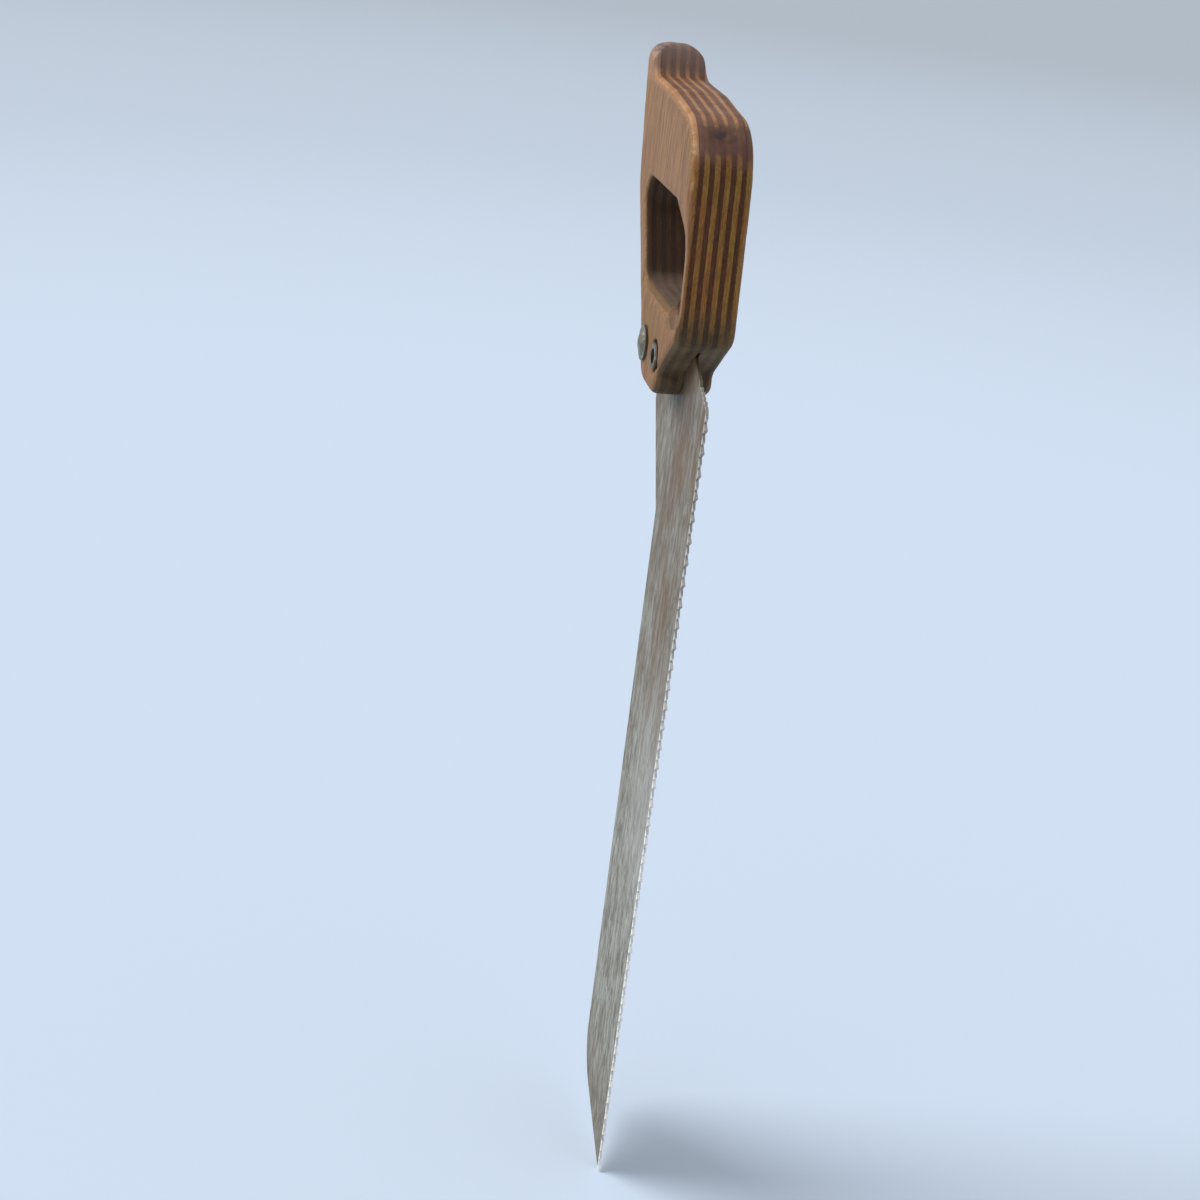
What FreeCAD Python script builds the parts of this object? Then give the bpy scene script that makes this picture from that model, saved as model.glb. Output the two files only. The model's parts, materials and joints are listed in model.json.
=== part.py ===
import FreeCAD, Part
import math
import os
import Sketcher
from FreeCAD import Placement, Rotation, Vector

# Bone saw, millimetres.
# +X points across the blade towards the teeth, +Y through the handle's thickness and
# +Z from the toe of the blade up to the handle. The origin is on the mid-plane, at the
# top wall of the hand hole, where the saw hangs on a peg.

doc = FreeCAD.newDocument("bone_saw")
sheet = doc.addObject("Spreadsheet::Sheet", "sizes")

# ---------------------------------------------------------------- driving dimensions
SIZES = [
    # plywood handle
    ("face_veneer", 1.0), ("core_veneer", 2.0), ("core_count", 11),
    ("outer_round", 3.4), ("hole_round", 1.8),
    # outline corners of the handle, x and z
    ("notch_x", -49.0), ("notch_z", 37.0), ("crown_x", -12.0), ("crown_z", 35.5),
    ("shoulder_x", 41.0), ("shoulder_z", 29.4),
    ("heel_x", 50.4), ("heel_z", -47.1),
    ("step_x", 28.5), ("step_z", -63.8),
    ("nose_front_x", 27.0), ("nose_z", -75.3), ("nose_back_x", -2.0),
    ("waist_x", -15.5), ("waist_z", -53.8),
    ("palm_x", -52.5), ("palm_z", -5.8),
    ("horn_back_x", -67.0), ("horn_z", 48.9), ("horn_front_x", -50.5),
    # corner radii of the outline
    ("shoulder_round", 27.0), ("palm_round", 40.0), ("horn_round", 6.0),
    ("notch_round", 5.0), ("heel_round", 5.0), ("nose_round", 11.0),
    # hand hole corners and radii
    ("hole_back_x", -41.0), ("hole_front_x", 34.0), ("hole_low_front_x", 39.0),
    ("hole_low_z", -38.3), ("hole_low_back_x", -14.5),
    ("hole_small_round", 8.0), ("hole_large_round", 14.0),
    # blade
    ("plate_thickness", 1.1), ("tooth_line_x", 71.0), ("tooth_line_top_z", -66.0),
    ("tooth_line_length", 350.0), ("tooth_pitch", 4.375), ("tooth_depth", 2.8),
    ("tang_z", -46.8), ("tang_front_x", 24.0), ("tang_back_x", -13.0),
    ("plate_back_x", -17.0), ("tang_corner_z", -51.0), ("plate_back_low_z", -87.5),
    ("ramp_end_x", 10.0), ("ramp_end_z", -126.5), ("toe_back_x", 14.5),
    ("toe_back_z", -395.7), ("toe_round", 22.0), ("heel_corner_round", 2.0),
    # saw kerf in the middle veneer
    ("kerf_width", 1.2), ("kerf_top_z", -46.0), ("kerf_bend_x", 32.0),
    ("kerf_front_x", 60.0), ("kerf_front_z", -57.3),
    # M6 bolts, nuts and washers
    ("bolt_low_z", -60.0), ("rear_bolt_x", 0.5), ("front_bolt_x", 20.5),
    ("shank_radius", 3.0), ("bolt_clearance", 3.25), ("head_radius", 5.2), ("head_height", 1.6),
    ("head_washer_radius", 7.0), ("head_washer_thickness", 1.0),
    ("nut_washer_radius", 6.0), ("nut_washer_thickness", 1.2), ("washer_bore", 3.2),
    ("nut_flat", 10.0), ("nut_height", 3.2), ("nut_bore", 3.05), ("nut_chamfer", 0.5),
    ("bolt_end_inset", 1.8), ("recess_radius", 6.3), ("recess_depth", 4.0),
    ("rear_head_sink", 0.0), ("front_head_sink", 2.0), ("head_recess_radius", 7.3),
]


def fill_sheet():
    """Write each driving dimension as a number with its alias, then the derived ones."""
    row = 1
    for alias, value in SIZES:
        sheet.set("A%d" % row, alias)
        sheet.set("B%d" % row, "%g" % value)
        sheet.setAlias("B%d" % row, alias)
        row += 1
    derived = [
        ("handle_thickness", "=2 * face_veneer + core_count * core_veneer"),
        ("tooth_count", "=round(tooth_line_length / tooth_pitch)"),
        ("nut_corner_radius", "=nut_flat / 2 / cos(30 deg)"),
    ]
    for alias, formula in derived:
        sheet.set("A%d" % row, alias)
        sheet.set("B%d" % row, formula)
        sheet.setAlias("B%d" % row, alias)
        row += 1
    doc.recompute()


def cell(alias):
    """The number that the sheet holds for an alias."""
    return float(getattr(sheet, alias))


# ---------------------------------------------------------------- sketch helpers
def origin_plane(body, role):
    """One of the body's own origin planes."""
    for feature in body.Origin.OriginFeatures:
        if feature.Role == role:
            return feature
    raise ValueError("no plane " + role)


def new_sketch(body, name, role="XZ_Plane"):
    sketch = body.newObject("Sketcher::SketchObject", name)
    sketch.AttachmentSupport = [(origin_plane(body, role), "")]
    sketch.MapMode = "FlatFace"
    return sketch


def polygon_sketch(body, name, corners):
    """A closed polygon on the XZ plane, each corner held by two expressions."""
    sketch = new_sketch(body, name)
    points = []
    for x_rule, z_rule in corners:
        points.append(Vector(rule_value(x_rule), rule_value(z_rule), 0))
    count = len(points)
    for i in range(count):
        sketch.addGeometry(Part.LineSegment(points[i], points[(i + 1) % count]), False)
    for i in range(count):
        sketch.addConstraint(Sketcher.Constraint("Coincident", i, 2, (i + 1) % count, 1))
    for i, (x_rule, z_rule) in enumerate(corners):
        bind_point(sketch, i, "DistanceX", points[i].x, x_rule)
        bind_point(sketch, i, "DistanceY", points[i].y, z_rule)
    return sketch


def rule_value(rule):
    """Value of a corner rule: a number, an alias, or alias-alias sums such as 'a + b'."""
    total = 0.0
    sign = 1.0
    for word in rule.split():
        if word == "+":
            sign = 1.0
        elif word == "-":
            sign = -1.0
        elif word[0].isdigit() or word[0] == "-":
            total += sign * float(word)
        else:
            total += sign * cell(word)
    return total


def sheet_rule(rule):
    """The same rule with each alias pointing at the sheet, in millimetres."""
    words = []
    for word in rule.split():
        if word in "+-":
            words.append(word)
        elif word[0].isdigit() or word[0] == "-":
            words.append(word + " mm")
        else:
            words.append("sizes." + word + " * 1 mm")
    return " ".join(words)


def bind_point(sketch, line, kind, value, rule):
    """Hold a line's start point from the origin, driven by the sheet."""
    index = sketch.addConstraint(Sketcher.Constraint(kind, -1, 1, line, 1, value))
    sketch.setExpression("Constraints[%d]" % index, sheet_rule(rule))


def circle_sketch(body, name, circles, support=None):
    """Circles on the XZ plane or a face, each from x, z and radius rules."""
    sketch = new_sketch(body, name)
    for i, (x_rule, z_rule, radius_rule) in enumerate(circles):
        centre = Vector(rule_value(x_rule), rule_value(z_rule), 0)
        sketch.addGeometry(Part.Circle(centre, Vector(0, 0, 1), rule_value(radius_rule)), False)
        for kind, rule in (("DistanceX", x_rule), ("DistanceY", z_rule)):
            value = rule_value(rule)
            index = sketch.addConstraint(Sketcher.Constraint(kind, -1, 1, i, 3, value))
            sketch.setExpression("Constraints[%d]" % index, sheet_rule(rule))
        index = sketch.addConstraint(Sketcher.Constraint("Radius", i, rule_value(radius_rule)))
        sketch.setExpression("Constraints[%d]" % index, sheet_rule(radius_rule))
    return sketch


def symmetric_pad(body, name, sketch, rule):
    pad = body.newObject("PartDesign::Pad", name)
    pad.Profile = sketch
    pad.SideType = "Symmetric"
    pad.setExpression("Length", sheet_rule(rule))
    doc.recompute()
    return pad


def through_pocket(body, name, sketch):
    """A pocket both ways from the mid-plane, checked by the volume it takes away."""
    before = body.Shape.Volume
    pocket = body.newObject("PartDesign::Pocket", name)
    pocket.Profile = sketch
    pocket.SideType = "Symmetric"
    pocket.Type = "ThroughAll"
    doc.recompute()
    if body.Shape.Volume > before - 1.0:
        raise ValueError(name + " cuts nothing")
    return pocket


def edge_names(shape, test):
    names = []
    for i, edge in enumerate(shape.Edges):
        if test(edge):
            names.append("Edge%d" % (i + 1))
    return names


def is_across_edge(edge, x, z):
    """True for a straight edge along Y that stands at x, z."""
    if not isinstance(edge.Curve, Part.Line):
        return False
    first, last = edge.Vertexes[0].Point, edge.Vertexes[-1].Point
    straight = abs(first.x - last.x) + abs(first.z - last.z) < 1e-4
    return straight and math.hypot(first.x - x, first.z - z) < 0.05


def fillet_corners(body, base, name, corners, radius_alias):
    """Round the edges along Y at the named corners with one radius from the sheet."""
    names = []
    for x_rule, z_rule in corners:
        x, z = rule_value(x_rule), rule_value(z_rule)
        found = edge_names(base.Shape, lambda edge: is_across_edge(edge, x, z))
        if len(found) != 1:
            raise ValueError("%s: %d edges at %s" % (name, len(found), x_rule))
        names += found
    fillet = body.newObject("PartDesign::Fillet", name)
    fillet.Base = (base, names)
    fillet.setExpression("Radius", "sizes." + radius_alias + " * 1 mm")
    doc.recompute()
    return fillet


# ---------------------------------------------------------------- handle
def build_handle_form():
    """The whole shaped handle, before it is divided into its veneers."""
    body = doc.addObject("PartDesign::Body", "handle_form")
    corners = {
        "notch": ("notch_x", "notch_z"), "crown": ("crown_x", "crown_z"),
        "shoulder": ("shoulder_x", "shoulder_z"),
        "heel": ("heel_x", "heel_z"), "step": ("step_x", "step_z"),
        "nose_front": ("nose_front_x", "nose_z"), "nose_back": ("nose_back_x", "nose_z"),
        "waist": ("waist_x", "waist_z"), "palm": ("palm_x", "palm_z"),
        "horn_back": ("horn_back_x", "horn_z"), "horn_front": ("horn_front_x", "horn_z"),
    }
    outline = polygon_sketch(body, "handle_outline", list(corners.values()))
    pad = symmetric_pad(body, "handle_pad", outline, "handle_thickness")

    rounds = [
        ("shoulder_arc", ["shoulder"], "shoulder_round"),
        ("palm_arc", ["palm"], "palm_round"),
        ("horn_arcs", ["horn_back", "horn_front"], "horn_round"),
        ("notch_arc", ["notch"], "notch_round"),
        ("heel_arc", ["heel"], "heel_round"),
        ("nose_arcs", ["nose_front", "nose_back"], "nose_round"),
    ]
    base = pad
    for name, keys, radius in rounds:
        base = fillet_corners(body, base, name, [corners[key] for key in keys], radius)

    hole_corners = [
        ("hole_back_x", "0"), ("hole_front_x", "0"),
        ("hole_low_front_x", "hole_low_z"), ("hole_low_back_x", "hole_low_z"),
    ]
    hole_outline = polygon_sketch(body, "hand_hole_outline", hole_corners)
    base = through_pocket(body, "hand_hole", hole_outline)
    base = fillet_corners(body, base, "hole_small_arcs",
                          [hole_corners[0], hole_corners[2]], "hole_small_round")
    base = fillet_corners(body, base, "hole_large_arcs",
                          [hole_corners[1], hole_corners[3]], "hole_large_round")

    base = round_face_rims(body, base)
    add_bolt_holes(body)
    return body


def round_face_rims(body, base):
    """Round the rims of both faces: the outside, then the hand hole."""
    half = cell("handle_thickness") / 2

    def on_face(edge):
        box = edge.BoundBox
        return abs(abs(box.YMin) - half) < 1e-3 and box.YLength < 1e-3

    def in_hole(edge):
        middle = edge.CenterOfMass
        wide = cell("hole_back_x") - 1 < middle.x < cell("hole_low_front_x") + 1
        return wide and cell("hole_low_z") - 1 < middle.z < 1

    outer = body.newObject("PartDesign::Fillet", "outer_rim")
    outer.Base = (base, edge_names(base.Shape, lambda e: on_face(e) and not in_hole(e)))
    outer.setExpression("Radius", "sizes.outer_round * 1 mm")
    doc.recompute()
    inner = body.newObject("PartDesign::Fillet", "hole_rim")
    inner.Base = (outer, edge_names(outer.Shape, lambda e: on_face(e) and in_hole(e)))
    inner.setExpression("Radius", "sizes.hole_round * 1 mm")
    doc.recompute()
    return inner


def add_bolt_holes(body):
    """Two clearance holes, a recess for each nut and one for the front bolt's head."""
    holes = circle_sketch(body, "bolt_hole_circles", [
        ("rear_bolt_x", "bolt_low_z", "bolt_clearance"),
        ("front_bolt_x", "bolt_low_z", "bolt_clearance"),
    ])
    through_pocket(body, "bolt_holes", holes)
    recesses = [
        ("rear_nut", "rear_bolt_x", 1, "recess_radius", "recess_depth"),
        ("front_nut", "front_bolt_x", -1, "recess_radius", "recess_depth"),
        ("front_head", "front_bolt_x", 1, "head_recess_radius", "front_head_sink"),
    ]
    for name, x_rule, side, radius_rule, depth_rule in recesses:
        add_recess(body, name, x_rule, side, radius_rule, depth_rule)


def add_recess(body, name, x_rule, side, radius_rule, depth_rule):
    """A round recess in one face: side is 1 on the right face and -1 on the left one."""
    before = body.Shape.Volume
    circle = circle_sketch(body, name + "_recess_circle", [(x_rule, "bolt_low_z", radius_rule)])
    half = cell("handle_thickness") / 2
    circle.AttachmentOffset = Placement(Vector(0, 0, -side * half), Rotation())
    circle.setExpression("AttachmentOffset.Base.z",
                         "%d * sizes.handle_thickness / 2 * 1 mm" % -side)
    pocket = body.newObject("PartDesign::Pocket", name + "_recess")
    pocket.Profile = circle
    pocket.setExpression("Length", "sizes.%s * 1 mm" % depth_rule)
    pocket.Reversed = side > 0
    doc.recompute()
    if body.Shape.Volume > before - 100.0:
        raise ValueError(name + " recess cuts nothing")


def veneer_name(number, count):
    if number == 1:
        return "ply_01_left_face"
    if number == count:
        return "ply_%02d_right_face" % count
    return "ply_%02d_core" % number


def build_veneers(form):
    """Divide the handle at the glue lines, from the left face (-Y) to the right face."""
    count = int(cell("core_count")) + 2
    reach = 200.0
    veneers = []
    for number in range(1, count + 1):
        slab = doc.addObject("Part::Box", "slab_%02d" % number)
        slab.Length = 2 * reach
        slab.Height = 2 * reach
        slab.Placement = Placement(Vector(-reach, 0, -reach), Rotation())
        outside = number in (1, count)
        slab.setExpression("Width", "sizes.%s * 1 mm" % ("face_veneer" if outside else "core_veneer"))
        if number == 1:
            start = "-sizes.handle_thickness / 2 * 1 mm"
        else:
            start = ("(sizes.face_veneer + %d * sizes.core_veneer"
                     " - sizes.handle_thickness / 2) * 1 mm" % (number - 2))
        slab.setExpression("Placement.Base.y", start)
        veneer = doc.addObject("Part::MultiCommon", "cut_%02d" % number)
        veneer.Shapes = [form, slab]
        veneer.Label = veneer_name(number, count)
        veneers.append(veneer)
    doc.recompute()
    return veneers


def build_kerf():
    """The saw cut that takes the blade's tang, as a tool for the middle veneer."""
    body = doc.addObject("PartDesign::Body", "kerf_tool")
    outline = polygon_sketch(body, "kerf_outline", [
        ("palm_x", "kerf_top_z"), ("kerf_bend_x", "kerf_top_z"),
        ("kerf_front_x", "kerf_front_z"), ("kerf_front_x", "plate_back_low_z"),
        ("palm_x", "plate_back_low_z"),
    ])
    symmetric_pad(body, "kerf_pad", outline, "kerf_width")
    return body


def slot_middle_veneer(veneers, kerf):
    """Swap the middle veneer for the same one with the kerf cut into it."""
    middle = len(veneers) // 2
    whole = veneers[middle]
    label = whole.Label
    whole.Label = "middle_veneer_whole"
    slotted = doc.addObject("Part::Cut", "middle_veneer_slotted")
    slotted.Base = whole
    slotted.Tool = kerf
    slotted.Label = label.replace("core", "kerf_core")
    veneers[middle] = slotted
    doc.recompute()


# ---------------------------------------------------------------- blade
def build_blade():
    """Blade with its tang, ramped back, clipped toe, bolt holes and cut teeth."""
    body = doc.addObject("PartDesign::Body", "blade")
    body.Label = "blade"
    corner = {
        "heel": ("tooth_line_x", "tooth_line_top_z"),
        "tang_front": ("tang_front_x", "tang_z"), "tang_back": ("tang_back_x", "tang_z"),
        "tang_corner": ("plate_back_x", "tang_corner_z"),
        "back_low": ("plate_back_x", "plate_back_low_z"),
        "ramp_end": ("ramp_end_x", "ramp_end_z"), "toe_back": ("toe_back_x", "toe_back_z"),
        "tip": ("tooth_line_x", "tooth_line_top_z - tooth_line_length"),
    }
    outline = polygon_sketch(body, "blade_outline", list(corner.values()))
    base = symmetric_pad(body, "blade_plate", outline, "plate_thickness")
    base = fillet_corners(body, base, "toe_arc", [corner["toe_back"]], "toe_round")
    base = fillet_corners(body, base, "heel_corner_arc", [corner["heel"]], "heel_corner_round")
    holes = circle_sketch(body, "tang_hole_circles", [
        ("rear_bolt_x", "bolt_low_z", "bolt_clearance"),
        ("front_bolt_x", "bolt_low_z", "bolt_clearance"),
    ])
    through_pocket(body, "tang_holes", holes)
    cut_teeth(body)
    return body


def cut_teeth(body):
    """One gullet at the heel, repeated along the tooth line."""
    line_x = cell("tooth_line_x")
    top = cell("tooth_line_top_z") - cell("tooth_pitch")
    pitch = cell("tooth_pitch")
    gullet = new_sketch(body, "gullet")
    corners = [
        Vector(line_x, top + pitch / 2, 0),
        Vector(line_x - cell("tooth_depth"), top, 0),
        Vector(line_x, top - pitch / 2, 0),
    ]
    for i in range(3):
        gullet.addGeometry(Part.LineSegment(corners[i], corners[(i + 1) % 3]), False)
    for i in range(3):
        gullet.addConstraint(Sketcher.Constraint("Coincident", i, 2, (i + 1) % 3, 1))
    rules = [
        ("sizes.tooth_line_x", "sizes.tooth_line_top_z - sizes.tooth_pitch / 2"),
        ("sizes.tooth_line_x - sizes.tooth_depth", "sizes.tooth_line_top_z - sizes.tooth_pitch"),
        ("sizes.tooth_line_x", "sizes.tooth_line_top_z - sizes.tooth_pitch * 3 / 2"),
    ]
    for i, (x_rule, z_rule) in enumerate(rules):
        for kind, value, rule in (("DistanceX", corners[i].x, x_rule),
                                  ("DistanceY", corners[i].y, z_rule)):
            index = gullet.addConstraint(Sketcher.Constraint(kind, -1, 1, i, 1, value))
            gullet.setExpression("Constraints[%d]" % index, "(%s) * 1 mm" % rule)
    first = through_pocket(body, "first_gullet", gullet)
    before = body.Shape.Volume
    teeth = body.newObject("PartDesign::LinearPattern", "teeth")
    teeth.Originals = [first]
    teeth.Direction = (gullet, ["V_Axis"])
    teeth.Reversed = True
    teeth.setExpression("Occurrences", "sizes.tooth_count - 1")
    teeth.setExpression("Length", "sizes.tooth_pitch * (sizes.tooth_count - 2) * 1 mm")
    body.Tip = teeth
    doc.recompute()
    cut = before - body.Shape.Volume
    expected = (cell("tooth_count") - 2) * pitch * cell("tooth_depth") / 2 * cell("plate_thickness")
    if abs(cut - expected) > 0.02 * expected:
        raise ValueError("teeth cut %.1f, expected %.1f" % (cut, expected))


# ---------------------------------------------------------------- fasteners
def build_bolt(name, x_alias, sink_alias, turn):
    """Domed bolt turned about Y. Its head sits on a face washer, its end inside the nut."""
    body = doc.addObject("PartDesign::Body", name)
    body.Label = name
    half = cell("handle_thickness") / 2
    seat = -(half - cell(sink_alias) + cell("head_washer_thickness"))
    head = cell("head_radius")
    shank = cell("shank_radius")
    end = (half - cell("recess_depth") + cell("nut_washer_thickness")
           + cell("nut_height") - cell("bolt_end_inset"))
    profile = new_sketch(body, name + "_profile", "XY_Plane")
    crown = Vector(0, seat - cell("head_height"), 0)
    rim = Vector(head, seat, 0)
    sag = cell("head_height")
    ball = (head ** 2 + sag ** 2) / (2 * sag)
    lean = math.asin(head / ball) / 2
    centre = Vector(0, crown.y + ball, 0)
    between = centre + Vector(ball * math.sin(lean), -ball * math.cos(lean), 0)
    profile.addGeometry(Part.Arc(crown, between, rim), False)
    chain = [rim, Vector(shank, seat, 0), Vector(shank, end, 0), Vector(0, end, 0), crown]
    for start, stop in zip(chain, chain[1:]):
        profile.addGeometry(Part.LineSegment(start, stop), False)
    hold_profile(profile, chain, sink_alias)
    turned = body.newObject("PartDesign::Revolution", name + "_turned")
    turned.Profile = profile
    turned.ReferenceAxis = (profile, ["V_Axis"])
    turned.Angle = 360.0
    body.Placement = Placement(Vector(cell(x_alias), 0, cell("bolt_low_z")),
                               Rotation(Vector(0, 0, 1), turn))
    body.setExpression("Placement.Base.x", "sizes.%s * 1 mm" % x_alias)
    body.setExpression("Placement.Base.z", "sizes.bolt_low_z * 1 mm")
    doc.recompute()
    return body


def hold_profile(profile, chain, sink_alias):
    """Bind the bolt profile's corners to the sheet."""
    seat = ("-(sizes.handle_thickness / 2 - sizes.%s + sizes.head_washer_thickness)"
            % sink_alias)
    end = ("sizes.handle_thickness / 2 - sizes.recess_depth + sizes.nut_washer_thickness"
           " + sizes.nut_height - sizes.bolt_end_inset")
    rules = [
        ("sizes.head_radius", seat), ("sizes.shank_radius", seat),
        ("sizes.shank_radius", end), ("0", end),
    ]
    for i, (x_rule, y_rule) in enumerate(rules):
        line = i + 1
        for kind, value, rule in (("DistanceX", chain[i].x, x_rule),
                                  ("DistanceY", chain[i].y, y_rule)):
            index = profile.addConstraint(Sketcher.Constraint(kind, -1, 1, line, 1, value))
            if rule != "0":
                profile.setExpression("Constraints[%d]" % index, "(%s) * 1 mm" % rule)


def turned_disc(name, radius_rule, height_rule, base_rule, x_alias):
    """A cylinder whose axis lies along Y, from a base plane towards +Y."""
    disc = doc.addObject("Part::Cylinder", name)
    disc.setExpression("Radius", "sizes.%s * 1 mm" % radius_rule)
    disc.setExpression("Height", "(%s) * 1 mm" % height_rule)
    disc.Placement = Placement(Vector(0, 0, 0), Rotation(Vector(1, 0, 0), -90))
    disc.setExpression("Placement.Base.x", "sizes.%s * 1 mm" % x_alias)
    disc.setExpression("Placement.Base.y", "(%s) * 1 mm" % base_rule)
    disc.setExpression("Placement.Base.z", "sizes.bolt_low_z * 1 mm")
    return disc


def build_washer(name, x_alias, radius, thickness, base_rule):
    plate = turned_disc(name + "_disc", radius, "sizes." + thickness, base_rule, x_alias)
    bore = turned_disc(name + "_bore", "washer_bore", "sizes." + thickness, base_rule, x_alias)
    washer = doc.addObject("Part::Cut", name)
    washer.Base = plate
    washer.Tool = bore
    washer.Label = name
    doc.recompute()
    return washer


def build_nut(name, x_alias, side):
    """Hexagon nut on its washer in the recess, with both hexagon rims chamfered."""
    inner = "sizes.handle_thickness / 2 - sizes.recess_depth + sizes.nut_washer_thickness"
    base = inner if side > 0 else "-(" + inner + ") - sizes.nut_height"
    hexagon = doc.addObject("Part::Prism", name + "_hexagon")
    hexagon.Polygon = 6
    hexagon.setExpression("Circumradius", "sizes.nut_corner_radius * 1 mm")
    hexagon.setExpression("Height", "sizes.nut_height * 1 mm")
    hexagon.Placement = Placement(Vector(0, 0, 0), Rotation(Vector(1, 0, 0), -90))
    hexagon.setExpression("Placement.Base.x", "sizes.%s * 1 mm" % x_alias)
    hexagon.setExpression("Placement.Base.y", "(%s) * 1 mm" % base)
    hexagon.setExpression("Placement.Base.z", "sizes.bolt_low_z * 1 mm")
    bore = turned_disc(name + "_bore", "nut_bore", "sizes.nut_height", base, x_alias)
    drilled = doc.addObject("Part::Cut", name + "_drilled")
    drilled.Base = hexagon
    drilled.Tool = bore
    doc.recompute()
    rims = []
    for i, edge in enumerate(drilled.Shape.Edges):
        flat = edge.BoundBox.YLength < 1e-4
        if flat and isinstance(edge.Curve, Part.Line):
            rims.append((i + 1, cell("nut_chamfer"), cell("nut_chamfer")))
    nut = doc.addObject("Part::Chamfer", name)
    nut.Base = drilled
    nut.Edges = rims
    nut.Label = name
    doc.recompute()
    return nut


def build_fasteners():
    """Two bolts from opposite sides, each with a washer under its head and its nut."""
    pieces = []
    face = "sizes.handle_thickness / 2"
    floor = face + " - sizes.recess_depth"
    for end, x_alias, side in (("rear", "rear_bolt_x", 1), ("front", "front_bolt_x", -1)):
        sink = end + "_head_sink"
        pieces.append(build_bolt(end + "_bolt", x_alias, sink, 0 if side > 0 else 180))
        seat = "%s - sizes.%s" % (face, sink)
        head_base = ("-(%s) - sizes.head_washer_thickness" % seat) if side > 0 else seat
        nut_base = floor if side > 0 else "-(%s) - sizes.nut_washer_thickness" % floor
        pieces.append(build_washer(end + "_head_washer", x_alias, "head_washer_radius",
                                   "head_washer_thickness", head_base))
        pieces.append(build_washer(end + "_nut_washer", x_alias, "nut_washer_radius",
                                   "nut_washer_thickness", nut_base))
        pieces.append(build_nut(end + "_nut", x_alias, side))
    return pieces


# ---------------------------------------------------------------- checks and export
def check_document():
    for item in doc.Objects:
        for state in item.State:
            if state in ("Invalid", "Error"):
                raise ValueError("%s is %s" % (item.Label, state))


def export(pieces):
    os.makedirs("parts", exist_ok=True)
    for piece in pieces:
        shape = piece.Shape
        if shape.isNull() or not shape.isValid() or not shape.Solids:
            raise ValueError(piece.Label + " has no valid solid")
        shape.exportStep("parts/%s.step" % piece.Label)
        print("%-22s solids %d volume %9.1f" % (piece.Label, len(shape.Solids), shape.Volume))


fill_sheet()
handle_form = build_handle_form()
plies = build_veneers(handle_form)
kerf_tool = build_kerf()
slot_middle_veneer(plies, kerf_tool)
saw_blade = build_blade()
fasteners = build_fasteners()
doc.recompute()
check_document()
export(plies + [saw_blade] + fasteners)
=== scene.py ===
import json
import logging
import math
from dataclasses import dataclass, field
from enum import Enum

import bmesh
import bpy
from mathutils import Matrix, Vector, noise


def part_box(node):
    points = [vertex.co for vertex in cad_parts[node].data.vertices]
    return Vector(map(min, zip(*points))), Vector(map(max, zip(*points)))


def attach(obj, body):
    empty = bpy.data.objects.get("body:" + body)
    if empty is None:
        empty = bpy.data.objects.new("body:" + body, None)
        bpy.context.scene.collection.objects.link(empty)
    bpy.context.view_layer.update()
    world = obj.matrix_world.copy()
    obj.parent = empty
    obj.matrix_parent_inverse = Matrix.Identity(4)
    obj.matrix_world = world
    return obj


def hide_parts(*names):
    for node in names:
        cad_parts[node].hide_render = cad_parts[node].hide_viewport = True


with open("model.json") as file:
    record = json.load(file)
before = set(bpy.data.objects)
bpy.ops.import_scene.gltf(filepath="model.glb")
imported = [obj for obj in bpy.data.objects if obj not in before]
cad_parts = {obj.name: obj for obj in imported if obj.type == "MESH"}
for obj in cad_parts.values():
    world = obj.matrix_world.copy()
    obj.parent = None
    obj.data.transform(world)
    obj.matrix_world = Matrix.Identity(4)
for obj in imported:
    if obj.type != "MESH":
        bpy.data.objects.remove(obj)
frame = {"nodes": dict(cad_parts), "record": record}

log = logging.getLogger("bone_saw")
MM = 0.001
Colour = tuple[float, float, float, float]
Triple = tuple[float, float, float]
Link = bpy.types.NodeSocket


# ---------------------------------------------------------------- small helpers
def tone(red: int, green: int, blue: int) -> Colour:
    """Turn a display colour into the linear one that shaders use.

    Args:
        red: Red, 0 to 255.
        green: Green, 0 to 255.
        blue: Blue, 0 to 255.

    Returns:
        Linear red, green, blue and an alpha of one.
    """
    linear = []
    for value in (red, green, blue):
        share = value / 255
        linear.append(share / 12.92 if share <= 0.04045 else ((share + 0.055) / 1.055) ** 2.4)
    return (linear[0], linear[1], linear[2], 1.0)


def ease(low: float, high: float, value: float) -> float:
    """Smooth step from 0 at low to 1 at high, either way round.

    Args:
        low: Value where the step starts.
        high: Value where the step ends.
        value: The value to place on the step.

    Returns:
        A number from 0 to 1.
    """
    share = min(1.0, max(0.0, (value - low) / (high - low)))
    return share * share * (3 - 2 * share)


def object_from(bm: bmesh.types.BMesh, name: str) -> bpy.types.Object:
    """Make a scene object from a bmesh and free the bmesh.

    Args:
        bm: The finished shape, in the row frame.
        name: Name of the piece.

    Returns:
        The object, at the origin, unturned and unscaled.
    """
    mesh = bpy.data.meshes.new(name)
    bm.to_mesh(mesh)
    bm.free()
    made = bpy.data.objects.new(name, mesh)
    bpy.context.scene.collection.objects.link(made)
    return made


def settle(made: bpy.types.Object) -> None:
    """Apply an object's modifiers to its mesh."""
    depsgraph = bpy.context.evaluated_depsgraph_get()
    mesh = bpy.data.meshes.new_from_object(made.evaluated_get(depsgraph))
    made.modifiers.clear()
    old = made.data
    made.data = mesh
    mesh.name = made.name
    bpy.data.meshes.remove(old)


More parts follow.
